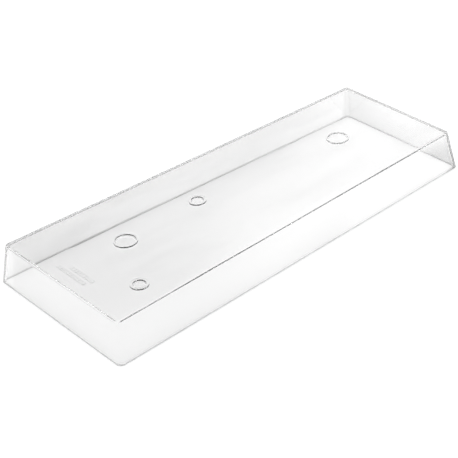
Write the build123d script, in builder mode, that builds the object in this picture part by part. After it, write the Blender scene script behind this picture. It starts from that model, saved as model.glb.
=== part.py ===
from build123d import *
import os
from math import cos, radians, tan

# Clear moulded cover: a shallow see-through hood, open underneath. Four round holes in its top plate each have
# a low collar round them, and a flat clear plug presses into each.
# Millimetres. +Z is up, +X runs from the wide end to the narrow end, and +Y runs to the back.
# The origin is the centre of the rim's plane, on which the cover stands.

# Outline of the rim, where the cover stands. It narrows from the left end to the right end.
rim_length = 172.0
left_end_width = 73.0
right_end_width = 61.8
rim_corner_radius = 2.15

# Walls: they lean inwards by the draft angle, so that the moulding comes off its core.
cover_height = 16.0
draft_angle = 9.4
wall = 1.2
top_corner_radius = 1.4
top_edge_radius = 0.5
rim_edge_radius = 0.3
inner_rim_corner_radius = 1.8
inner_top_corner_radius = 1.2
inner_edge_radius = 0.3

# Plugs: flat discs as thick as the top plate. Each presses into its hole, and a low collar stands round it.
plug_clearance = 0.05
plug_chamfer = 0.1
collar_height = 0.5
collar_edge_radius = 0.1
wide_plug_diameter = 7.7
wide_collar_diameter = 9.0
small_plug_diameter = 4.6
small_collar_diameter = 6.8

# Where the plugs stand: how far their centres are from the rim of one end, and behind the long centre line.
left_plug_from_wide_end = 34.4
left_plug_behind_centre = 3.0
right_plug_from_narrow_end = 35.5
right_plug_behind_centre = 0.0
front_plug_from_wide_end = 21.4
front_plug_behind_centre = -22.0
rear_plug_from_wide_end = 69.3
rear_plug_behind_centre = 5.0

# Mould mark: two rows of plain raised bars across the wide end of the top plate.
mark_height = 0.15
mark_bar_width = 1.5
mark_bar_length = 0.8
mark_bar_pitch = 1.5
near_row_from_wide_end = 8.3
near_row_behind_centre = 0.0
near_row_bars = 11
far_row_from_wide_end = 11.1
far_row_behind_centre = -2.8
far_row_bars = 9

# Worked out from the values above.
wall_across = wall / cos(radians(draft_angle))
plate_underside = cover_height - wall
lean_per_mm = tan(radians(draft_angle))
wide_end = -rim_length / 2
narrow_end = rim_length / 2
rim_corners = (
    (wide_end, -left_end_width / 2),
    (narrow_end, -right_end_width / 2),
    (narrow_end, right_end_width / 2),
    (wide_end, left_end_width / 2),
)
wide_plug_places = {
    "left": (wide_end + left_plug_from_wide_end, left_plug_behind_centre),
    "right": (narrow_end - right_plug_from_narrow_end, right_plug_behind_centre),
}
small_plug_places = {
    "front": (wide_end + front_plug_from_wide_end, front_plug_behind_centre),
    "rear": (wide_end + rear_plug_from_wide_end, rear_plug_behind_centre),
}
collar_sizes = (
    (wide_plug_places, wide_collar_diameter, wide_plug_diameter),
    (small_plug_places, small_collar_diameter, small_plug_diameter),
)
near_row_place = (wide_end + near_row_from_wide_end, near_row_behind_centre)
far_row_place = (wide_end + far_row_from_wide_end, far_row_behind_centre)


def cover_plan(inset, corner_radius):
    """The rim's outline, moved in by the inset all round, with rounded corners."""
    with BuildSketch() as plan:
        with BuildLine():
            Polyline(*rim_corners, close=True)
        make_face()
        if inset > 0:
            offset(amount=-inset, kind=Kind.INTERSECTION, mode=Mode.REPLACE)
        fillet(plan.vertices(), radius=corner_radius)
    return plan.sketch


def save(piece, name):
    """Names a finished piece and writes it as a STEP file of its own."""
    piece.part.label = name
    export_step(piece.part, f"parts/{name}.step")


def make_plug(name, place, diameter):
    """A solid clear disc that fills its hole, from the plate's top to its underside, with a lead-in below."""
    with BuildPart() as plug:
        with BuildSketch(Plane.XY.offset(plate_underside)):
            with Locations(place):
                Circle(diameter / 2)
        extrude(amount=wall)
        chamfer(plug.faces().sort_by(Axis.Z)[0].edges(), length=plug_chamfer)
    save(plug, name)


os.makedirs("parts", exist_ok=True)

# The hollow under the top plate: the shape of the moulding's core.
with BuildPart() as hollow:
    with BuildSketch(Plane.XY):
        add(cover_plan(wall_across, inner_rim_corner_radius))
    with BuildSketch(Plane.XY.offset(plate_underside)):
        add(cover_plan(wall_across + plate_underside * lean_per_mm, inner_top_corner_radius))
    loft(ruled=True)
    fillet(hollow.faces().sort_by(Axis.Z)[-1].edges(), radius=inner_edge_radius)

# The cover: one moulding, with a collared round hole for each plug and the mould mark on its top plate.
with BuildPart() as cover_shell:
    with BuildSketch(Plane.XY):
        add(cover_plan(0, rim_corner_radius))
    with BuildSketch(Plane.XY.offset(cover_height)):
        add(cover_plan(cover_height * lean_per_mm, top_corner_radius))
    loft(ruled=True)
    fillet(cover_shell.faces().sort_by(Axis.Z)[-1].edges(), radius=top_edge_radius)
    fillet(cover_shell.faces().sort_by(Axis.Z)[0].edges(), radius=rim_edge_radius)
    add(hollow.part, mode=Mode.SUBTRACT)
    for places, collar_diameter, plug_diameter in collar_sizes:
        with BuildSketch(Plane.XY.offset(cover_height)):
            with Locations(*places.values()):
                Circle(collar_diameter / 2)
        extrude(amount=collar_height)
        with BuildSketch(Plane.XY.offset(plate_underside)):
            with Locations(*places.values()):
                Circle(plug_diameter / 2 + plug_clearance)
        extrude(amount=wall + collar_height, mode=Mode.SUBTRACT)
    fillet(cover_shell.edges().group_by(Axis.Z)[-1], radius=collar_edge_radius)
    with BuildSketch(Plane.XY.offset(cover_height)):
        for row_place, bars in ((near_row_place, near_row_bars), (far_row_place, far_row_bars)):
            with Locations(row_place):
                with GridLocations(0, mark_bar_pitch, 1, bars):
                    Rectangle(mark_bar_width, mark_bar_length)
    extrude(amount=mark_height)
save(cover_shell, "cover_shell")

# Two wide plugs on the plate's long centre line, and two small ones.
for side, place in wide_plug_places.items():
    make_plug(f"wide_plug_{side}", place, wide_plug_diameter)
for side, place in small_plug_places.items():
    make_plug(f"small_plug_{side}", place, small_plug_diameter)
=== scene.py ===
from math import cos, radians, sin

import bpy
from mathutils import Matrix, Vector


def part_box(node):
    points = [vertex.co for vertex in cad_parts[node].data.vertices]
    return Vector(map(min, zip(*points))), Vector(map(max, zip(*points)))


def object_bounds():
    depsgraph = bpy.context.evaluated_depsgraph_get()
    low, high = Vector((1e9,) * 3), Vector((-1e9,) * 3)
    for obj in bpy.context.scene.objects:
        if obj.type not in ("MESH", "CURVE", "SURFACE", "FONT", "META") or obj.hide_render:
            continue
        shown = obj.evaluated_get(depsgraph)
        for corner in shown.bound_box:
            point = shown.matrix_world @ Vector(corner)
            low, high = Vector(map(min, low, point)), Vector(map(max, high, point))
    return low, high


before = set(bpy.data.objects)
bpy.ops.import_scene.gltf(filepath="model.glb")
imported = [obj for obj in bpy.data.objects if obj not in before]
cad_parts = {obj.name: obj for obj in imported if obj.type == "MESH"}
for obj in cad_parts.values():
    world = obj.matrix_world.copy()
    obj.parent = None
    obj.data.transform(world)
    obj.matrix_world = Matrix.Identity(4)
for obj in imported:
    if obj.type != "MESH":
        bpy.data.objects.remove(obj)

cad_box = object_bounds()
wide_end = cad_box[0][0]
narrow_end = cad_box[1][0]
scene = bpy.context.scene


# --- The camera: a long lens, well above the front corner of the wide end and turned down along the
# cover. Colours are shown plainly, as they are lit.
camera_data = bpy.data.cameras.new("studio_camera")
camera_data.lens = 114.4
camera_data.sensor_width = 36.0
camera = bpy.data.objects.new("studio_camera", camera_data)
camera.location = (-0.28923, -0.3624, 0.29909)
camera.rotation_euler = (radians(56.939), radians(4.125), radians(-40.594))
scene.collection.objects.link(camera)
scene.camera = camera
scene.view_settings.view_transform = "Standard"

# Light runs along inside the clear walls and meets many faces before it leaves them.
scene.cycles.max_bounces = 32
scene.cycles.glossy_bounces = 24
scene.cycles.transmission_bounces = 24


# --- The table: a plain pale sheet, a hair below the rim, so that the rim's underside stays a
# face of its own. It keeps the cover's shadow, and looks white to the eye and through the plastic.
table_half_width = 6.0
table_drop = 0.0001
table_colour = (0.85, 0.85, 0.85, 1.0)
table_lift = 0.42


def place_node(tree, kind, settings=None, values=None):
    """Adds one node. Its settings are its attributes, and its values are its sockets' own, by name or number."""
    node = tree.nodes.new(kind)
    for name, value in (settings or {}).items():
        setattr(node, name, value)
    for socket, value in (values or {}).items():
        node.inputs[socket].default_value = value
    return node


def empty_material(name):
    """A material with no nodes in its tree yet."""
    material = bpy.data.materials.new(name)
    material.use_nodes = True
    material.node_tree.nodes.clear()
    return material, material.node_tree, material.node_tree.links.new


table_corners = [(across * table_half_width, along * table_half_width, -table_drop)
                 for across, along in ((-1, -1), (1, -1), (1, 1), (-1, 1))]
table_mesh = bpy.data.meshes.new("studio_table")
table_mesh.from_pydata(table_corners, [], [(0, 1, 2, 3)])
table = bpy.data.objects.new("studio_table", table_mesh)
scene.collection.objects.link(table)

table_paint, tree, join = empty_material("studio_table")
matt = place_node(tree, "ShaderNodeBsdfDiffuse", values={"Color": table_colour})
glow = place_node(tree, "ShaderNodeEmission")
path = place_node(tree, "ShaderNodeLightPath")
to_eye = place_node(tree, "ShaderNodeMath", {"operation": "ADD"})
to_eye_or_glass = place_node(tree, "ShaderNodeMath", {"operation": "ADD", "use_clamp": True})
lift = place_node(tree, "ShaderNodeMath", {"operation": "MULTIPLY"}, {1: table_lift})
both = place_node(tree, "ShaderNodeAddShader")
output = place_node(tree, "ShaderNodeOutputMaterial")
join(path.outputs["Is Camera Ray"], to_eye.inputs[0])
join(path.outputs["Is Glossy Ray"], to_eye.inputs[1])
join(to_eye.outputs[0], to_eye_or_glass.inputs[0])
join(path.outputs["Is Transmission Ray"], to_eye_or_glass.inputs[1])
join(to_eye_or_glass.outputs[0], lift.inputs[0])
join(lift.outputs[0], glow.inputs["Strength"])
join(matt.outputs[0], both.inputs[0])
join(glow.outputs[0], both.inputs[1])
join(both.outputs[0], output.inputs["Surface"])
table_mesh.materials.append(table_paint)


# --- The light: a white tent all round, and two round dark cards with soft edges, low down. The
# one behind the wide end is mirrored by the top plate, and the one in front serves views from behind.
tent_strength = 1.15
card_strength = 0.05
cards = (
    # azimuth, elevation, radius and softness, in degrees
    (70, 16.6, 23.7, 1.8),
    (225, 14, 18, 4),
)

tent = bpy.data.worlds.new("studio_tent")
scene.world = tent
tent.use_nodes = True
tree = tent.node_tree
tree.nodes.clear()
join = tree.links.new
place = place_node(tree, "ShaderNodeTexCoord")
sky = place_node(tree, "ShaderNodeBackground")
output = place_node(tree, "ShaderNodeOutputWorld")
brightness = None
for card_azimuth, card_elevation, card_radius, card_softness in cards:
    nearness = place_node(tree, "ShaderNodeVectorMath", {"operation": "DOT_PRODUCT"}, {1: (
        cos(radians(card_elevation)) * cos(radians(card_azimuth)),
        cos(radians(card_elevation)) * sin(radians(card_azimuth)),
        sin(radians(card_elevation)),
    )})
    card_edge = place_node(tree, "ShaderNodeMapRange", values={
        "From Min": cos(radians(card_radius + card_softness)),
        "From Max": cos(radians(card_radius - card_softness)),
        "To Min": tent_strength,
        "To Max": card_strength,
    })
    join(place.outputs["Generated"], nearness.inputs[0])
    join(nearness.outputs["Value"], card_edge.inputs["Value"])
    if brightness is None:
        brightness = card_edge.outputs["Result"]
    else:
        darker = place_node(tree, "ShaderNodeMath", {"operation": "MINIMUM"})
        join(brightness, darker.inputs[0])
        join(card_edge.outputs["Result"], darker.inputs[1])
        brightness = darker.outputs[0]
join(brightness, sky.inputs["Strength"])
join(sky.outputs[0], output.inputs["Surface"])


# --- The moulded shell: one thin hood of clear polystyrene. It leaves the mould glossy, a touch
# wavy and clouded along the flow. Handling scuffs it hair-fine, and the bench wears its rim matt.
plastic_ior = 1.49
clear_share = 0.985
fall_through = 0.995
flow_stretch = (0.3, 1.0, 1.0)
cloud_edges = (0.4, 0.68)
scuff_stretch = (0.02, 1.0, 1.0)
scuff_edges = (0.7, 0.78)
scuff_angles = (25, 115)
clear_colour = (0.993, 0.993, 0.993, 1.0)
# Painted shade: a grey that grows towards the wide end and stands in for shade there.
wide_end_shade_colour = (0.895, 0.895, 0.895, 1.0)
# Painted shade: a darker grey on the walls other than the back wall, strongest towards the wide end.
wall_shade_colour = (0.86, 0.86, 0.86, 1.0)
# Painted shade: dark grey in the narrow end's front corner, and fainter in its back corner.
corner_shade_colour = (0.71, 0.71, 0.71, 1.0)
faint_corner_shade_colour = (0.82, 0.82, 0.82, 1.0)
# Painted shade: near black on the little upright walls that stand on the plate.
collar_shade_colour = (0.12, 0.12, 0.12, 1.0)
# Painted shadow: grey at the foot of the back wall and of the narrow end.
foot_shadow_colour = (0.55, 0.55, 0.55, 1.0)
foot_height = (0.0005, 0.00035)
foot_roughness = 0.75


def new_group(name, inputs, outputs):
    """An empty node group. Inputs are {name: (kind, value)}, and outputs are {name: kind}."""
    group = bpy.data.node_groups.new(name, "ShaderNodeTree")
    for socket_name, (kind, value) in inputs.items():
        socket = group.interface.new_socket(socket_name, in_out="INPUT", socket_type=kind)
        if value is not None:
            socket.default_value = value
    for socket_name, kind in outputs.items():
        group.interface.new_socket(socket_name, in_out="OUTPUT", socket_type=kind)
    return group, group.nodes.new("NodeGroupInput"), group.nodes.new("NodeGroupOutput"), group.links.new


# Flow cloud: noise drawn out along the way the melt ran, as a mask from clear to cloudy and as a roughness.
flow_cloud, taken, given, join = new_group(
    "flow_cloud",
    {"Vector": ("NodeSocketVector", None), "Clouds Per Metre": ("NodeSocketFloat", 60.0),
     "Clear Roughness": ("NodeSocketFloat", 0.0), "Cloudy Roughness": ("NodeSocketFloat", 0.1)},
    {"Cloud": "NodeSocketFloat", "Roughness": "NodeSocketFloat"},
)
drawn_out = place_node(flow_cloud, "ShaderNodeMapping", values={"Scale": flow_stretch})
cloud = place_node(flow_cloud, "ShaderNodeTexNoise", values={"Detail": 3.0, "Roughness": 0.55})
cloud_mask = place_node(flow_cloud, "ShaderNodeMapRange", {"interpolation_type": "SMOOTHSTEP"},
                        {"From Min": cloud_edges[0], "From Max": cloud_edges[1]})
cloud_roughness = place_node(flow_cloud, "ShaderNodeMapRange")
join(taken.outputs["Vector"], drawn_out.inputs["Vector"])
join(drawn_out.outputs[0], cloud.inputs["Vector"])
join(taken.outputs["Clouds Per Metre"], cloud.inputs["Scale"])
join(cloud.outputs["Fac"], cloud_mask.inputs["Value"])
join(cloud_mask.outputs["Result"], given.inputs["Cloud"])
join(cloud_mask.outputs["Result"], cloud_roughness.inputs["Value"])
join(taken.outputs["Clear Roughness"], cloud_roughness.inputs["To Min"])
join(taken.outputs["Cloudy Roughness"], cloud_roughness.inputs["To Max"])
join(cloud_roughness.outputs["Result"], given.inputs["Roughness"])

# Moulded skin: the height of a slow waviness from cooling, with hair-fine scuffs that run two ways.
moulded_skin, taken, given, join = new_group(
    "moulded_skin",
    {"Vector": ("NodeSocketVector", None), "Waves Per Metre": ("NodeSocketFloat", 30.0),
     "Scuffs Per Metre": ("NodeSocketFloat", 900.0), "Scuff Depth": ("NodeSocketFloat", 0.02)},
    {"Height": "NodeSocketFloat"},
)
wave = place_node(moulded_skin, "ShaderNodeTexNoise", values={"Detail": 1.0})
height = wave.outputs["Fac"]
join(taken.outputs["Vector"], wave.inputs["Vector"])
join(taken.outputs["Waves Per Metre"], wave.inputs["Scale"])
for scuff_angle in scuff_angles:
    turned = place_node(moulded_skin, "ShaderNodeMapping",
                        values={"Rotation": (0, 0, radians(scuff_angle)), "Scale": scuff_stretch})
    scuff = place_node(moulded_skin, "ShaderNodeTexNoise", values={"Detail": 0.0})
    line = place_node(moulded_skin, "ShaderNodeMapRange",
                      values={"From Min": scuff_edges[0], "From Max": scuff_edges[1]})
    depth = place_node(moulded_skin, "ShaderNodeMath", {"operation": "MULTIPLY"})
    cut = place_node(moulded_skin, "ShaderNodeMath", {"operation": "SUBTRACT"})
    join(taken.outputs["Vector"], turned.inputs["Vector"])
    join(turned.outputs[0], scuff.inputs["Vector"])
    join(taken.outputs["Scuffs Per Metre"], scuff.inputs["Scale"])
    join(scuff.outputs["Fac"], line.inputs["Value"])
    join(line.outputs["Result"], depth.inputs[0])
    join(taken.outputs["Scuff Depth"], depth.inputs[1])
    join(height, cut.inputs[0])
    join(depth.outputs[0], cut.inputs[1])
    height = cut.outputs[0]
join(height, given.inputs["Height"])


def clear_plastic(name, clouds_per_metre, cloudy_roughness, wave_height, body_colour):
    """Clear plastic that refracts where it is looked through, and lets light fall past it to what is below.

    Whatever stands on a bench is scuffed matt at its foot, so there the plastic is rough.
    body_colour takes the node tree, its link maker, the Object coordinates and the cloud mask, and
    gives the socket that holds the plastic's colour, painted shade included.
    """
    material, tree, join = empty_material(name)
    place = place_node(tree, "ShaderNodeTexCoord")
    clouds = place_node(tree, "ShaderNodeGroup", {"node_tree": flow_cloud},
                        {"Clouds Per Metre": clouds_per_metre, "Cloudy Roughness": cloudy_roughness})
    foot = place_node(tree, "ShaderNodeMapRange", values={"From Min": foot_height[0], "From Max": foot_height[1],
                                                          "To Min": 0.0, "To Max": foot_roughness})
    height = place_node(tree, "ShaderNodeSeparateXYZ")
    roughness = place_node(tree, "ShaderNodeMath", {"operation": "MAXIMUM"})
    skin = place_node(tree, "ShaderNodeGroup", {"node_tree": moulded_skin})
    bump = place_node(tree, "ShaderNodeBump", values={"Strength": 1.0, "Distance": wave_height})
    plastic = place_node(tree, "ShaderNodeBsdfPrincipled",
                         values={"Transmission Weight": clear_share, "IOR": plastic_ior})
    join(place.outputs["Object"], clouds.inputs["Vector"])
    join(place.outputs["Object"], skin.inputs["Vector"])
    join(place.outputs["Object"], height.inputs[0])
    join(skin.outputs["Height"], bump.inputs["Height"])
    join(bump.outputs[0], plastic.inputs["Normal"])
    join(clouds.outputs["Roughness"], roughness.inputs[0])
    join(height.outputs["Z"], foot.inputs["Value"])
    join(foot.outputs["Result"], roughness.inputs[1])
    join(roughness.outputs[0], plastic.inputs["Roughness"])
    join(body_colour(tree, join, place.outputs["Object"], clouds.outputs["Cloud"]), plastic.inputs["Base Color"])

    # Light that falls past isn't bent, so every face takes the share that it takes from outside. The
    # Fresnel node turns its IOR over on back faces, and the inverse here turns it back.
    side = place_node(tree, "ShaderNodeNewGeometry")
    either_side_ior = place_node(tree, "ShaderNodeMapRange",
                                 values={"To Min": plastic_ior, "To Max": 1 / plastic_ior})
    fresnel = place_node(tree, "ShaderNodeFresnel")
    kept = place_node(tree, "ShaderNodeMath", {"operation": "SUBTRACT"}, {0: fall_through})
    falls_through = place_node(tree, "ShaderNodeBsdfTransparent")
    path = place_node(tree, "ShaderNodeLightPath")
    falls_past = place_node(tree, "ShaderNodeMath", {"operation": "MAXIMUM"})
    both = place_node(tree, "ShaderNodeMixShader")
    output = place_node(tree, "ShaderNodeOutputMaterial")
    join(side.outputs["Backfacing"], either_side_ior.inputs["Value"])
    join(either_side_ior.outputs["Result"], fresnel.inputs["IOR"])
    join(fresnel.outputs[0], kept.inputs[1])
    join(kept.outputs[0], falls_through.inputs["Color"])
    join(path.outputs["Is Shadow Ray"], falls_past.inputs[0])
    join(path.outputs["Is Diffuse Ray"], falls_past.inputs[1])
    join(falls_past.outputs[0], both.inputs[0])
    join(plastic.outputs[0], both.inputs[1])
    join(falls_through.outputs[0], both.inputs[2])
    join(both.outputs[0], output.inputs["Surface"])
    return material


def mix_colour(tree, join, factor, first, second):
    """Mixes two colours by a mask. The first is a colour or a socket that gives one.

    A Mix node's sockets share their names, so they are numbered: its colours go in at 6 and 7, and out at 2.
    """
    mix = place_node(tree, "ShaderNodeMix", {"data_type": "RGBA"}, {7: second})
    join(factor, mix.inputs[0])
    if isinstance(first, tuple):
        mix.inputs[6].default_value = first
    else:
        join(first, mix.inputs[6])
    return mix.outputs[2]


# How much of the painted shade the clouds add at random, and how much less of it the back wall gets. Below, where
# each band of painted shade or shadow starts on its axis and where it is full, in metres.
cloud_weight = 0.5
shade_weight = 0.5
plate_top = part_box("wide_plug_left")[1][2]
wide_end_shade_along = (0.0, wide_end)
wall_shade_along = (0.05, wide_end)
end_wall_along = (narrow_end - 0.006, narrow_end - 0.001)
end_foot_along = (narrow_end - 0.01, narrow_end - 0.004)
wide_end_weight_along = (0.15, -0.06)
back_wall_across = (0.026, 0.03)
back_corner_shade_across = (-0.01, 0.02)
back_foot_shadow_across = (-0.01, 0.012)
front_corner_down = (-0.007, -0.02)
foot_shadow_up = (0.001, 0.0)
collars_up = (plate_top, plate_top + 0.00005)
upright_lean = (0.8, 0.4)


def slope_mask(tree, join, socket, reach):
    """A mask that rises smoothly from none at the reach's first value to full at its second."""
    mask = place_node(tree, "ShaderNodeMapRange", {"interpolation_type": "SMOOTHSTEP"},
                      {"From Min": reach[0], "From Max": reach[1]})
    join(socket, mask.inputs["Value"])
    return mask.outputs["Result"]


def maths(tree, join, operation, first, second=None):
    """One Math node between two sockets, or of one."""
    node = place_node(tree, "ShaderNodeMath", {"operation": operation})
    join(first, node.inputs[0])
    if second is not None:
        join(second, node.inputs[1])
    return node.outputs[0]


def axes_of(tree, join, vector):
    """The three parts of a vector: along to the narrow end, across to the back, and up."""
    parts = place_node(tree, "ShaderNodeSeparateXYZ")
    join(vector, parts.inputs[0])
    return parts.outputs


def shaded_body_colour(tree, join, place, cloud):
    """Clearest in the middle, with painted shade that grows towards the wide end and is darker in the narrow end's
    corners.

    The painted shade is lightest on the back wall and darker on the other walls. The little upright walls that stand
    on the plate, which are the collars' and the mark's, are painted dark as shade, most of it at the wide end. A
    painted shadow lies at the foot of the back wall and the narrow end's. The flow clouds add to the grey at random.
    """
    along, across, up = axes_of(tree, join, place)
    faces = place_node(tree, "ShaderNodeNewGeometry")
    lean = maths(tree, join, "ABSOLUTE", axes_of(tree, join, faces.outputs["True Normal"])[2])
    upright = slope_mask(tree, join, lean, upright_lean)
    at_back = slope_mask(tree, join, across, back_wall_across)
    back_wall = maths(tree, join, "MULTIPLY", upright, at_back)
    end_wall = slope_mask(tree, join, along, end_wall_along)
    front_corner = slope_mask(tree, join, maths(tree, join, "ADD", across, up), front_corner_down)
    # Weights the painted collar shade and the painted foot shadow towards the wide end.
    wide_end_weight = slope_mask(tree, join, along, wide_end_weight_along)

    # Painted shade towards the wide end, half as much on the back wall, with the flow clouds adding to it at random.
    wide_end_shade = place_node(tree, "ShaderNodeMath", {"operation": "MULTIPLY_ADD"}, {1: -shade_weight})
    cloud_and_shade = place_node(tree, "ShaderNodeMath", {"operation": "MULTIPLY_ADD", "use_clamp": True}, {1: cloud_weight})
    join(back_wall, wide_end_shade.inputs[0])
    join(slope_mask(tree, join, along, wide_end_shade_along), wide_end_shade.inputs[2])
    join(cloud, cloud_and_shade.inputs[0])
    join(wide_end_shade.outputs[0], cloud_and_shade.inputs[2])
    colour = mix_colour(tree, join, cloud_and_shade.outputs[0], clear_colour, wide_end_shade_colour)
    # Painted shade on the walls other than the back wall.
    other_walls = maths(tree, join, "SUBTRACT", upright, back_wall)
    wall_shade = maths(tree, join, "MULTIPLY", other_walls, slope_mask(tree, join, along, wall_shade_along))
    colour = mix_colour(tree, join, wall_shade, colour, wall_shade_colour)

    # Painted shade in the narrow end's back and front corners.
    back_corner = slope_mask(tree, join, across, back_corner_shade_across)
    colour = mix_colour(tree, join, maths(tree, join, "MULTIPLY", end_wall, back_corner), colour, faint_corner_shade_colour)
    colour = mix_colour(tree, join, maths(tree, join, "MULTIPLY", end_wall, front_corner), colour, corner_shade_colour)

    # Painted shadow at the foot of the back wall and of the narrow end.
    back_foot_shade_side = maths(tree, join, "MULTIPLY", wide_end_weight, at_back)
    end_corners = maths(tree, join, "MAXIMUM", front_corner, slope_mask(tree, join, across, back_foot_shadow_across))
    at_end = maths(tree, join, "MULTIPLY", end_corners, slope_mask(tree, join, along, end_foot_along))
    foot = maths(tree, join, "MULTIPLY", upright, slope_mask(tree, join, up, foot_shadow_up))
    foot_shadow = maths(tree, join, "MULTIPLY", foot, maths(tree, join, "MAXIMUM", back_foot_shade_side, at_end))
    colour = mix_colour(tree, join, foot_shadow, colour, foot_shadow_colour)

    # Painted shade on the little upright walls on the plate, strongest towards the wide end.
    standing_on_plate = maths(tree, join, "MULTIPLY", upright, slope_mask(tree, join, up, collars_up))
    collar_shade = maths(tree, join, "MULTIPLY", wide_end_weight, standing_on_plate)
    return mix_colour(tree, join, collar_shade, colour, collar_shade_colour)


shell_plastic = clear_plastic("clear_shell_plastic", clouds_per_metre=60.0, cloudy_roughness=0.08,
                              wave_height=0.00006, body_colour=shaded_body_colour)
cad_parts["cover_shell"].material_slots[0].material = shell_plastic


# --- The four plugs: small discs of the same clear plastic, moulded apart and pressed into their
# holes, level with the plate. They carry the same painted shade as the shell, and are finer clouded and a little
# rougher.
plug_plastic = clear_plastic("clear_plug_plastic", clouds_per_metre=400.0, cloudy_roughness=0.1,
                             wave_height=0.00002, body_colour=shaded_body_colour)
for name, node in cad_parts.items():
    if "plug" in name:
        node.material_slots[0].material = plug_plastic
